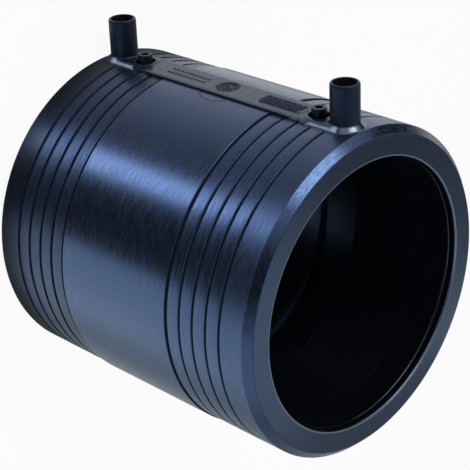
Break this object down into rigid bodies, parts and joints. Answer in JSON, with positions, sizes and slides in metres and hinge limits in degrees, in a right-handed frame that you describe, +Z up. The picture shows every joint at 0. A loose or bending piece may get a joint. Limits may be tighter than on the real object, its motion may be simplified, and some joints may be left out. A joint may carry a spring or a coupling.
{
  "type": "electrofusion coupler",
  "caption": "Straight black polyethylene pipe coupler with heating wire in both sockets, shrouded terminal pins and fusion indicators.",
  "frame": {"origin": "on the pipe axis, at the bottom end face", "axes": "+Z up the pipe axis, -Y out along the terminals, +X across"},
  "size_m": [0.136, 0.153, 0.144],
  "materials": {
    "body_polyethylene": "satin black moulded polyethylene",
    "resistance_wire": "drawn resistance wire",
    "pin_brass": "turned brass",
    "indicator_polyethylene": "satin black polyethylene"
  },
  "bodies": {
    "root": {"coupler_body": "body_polyethylene", "heating_wire": "resistance_wire", "terminal_pin_bottom": "pin_brass", "terminal_pin_top": "pin_brass", "indicator_pin_bottom": "indicator_polyethylene", "indicator_pin_top": "indicator_polyethylene"}
  },
  "joints": []
}
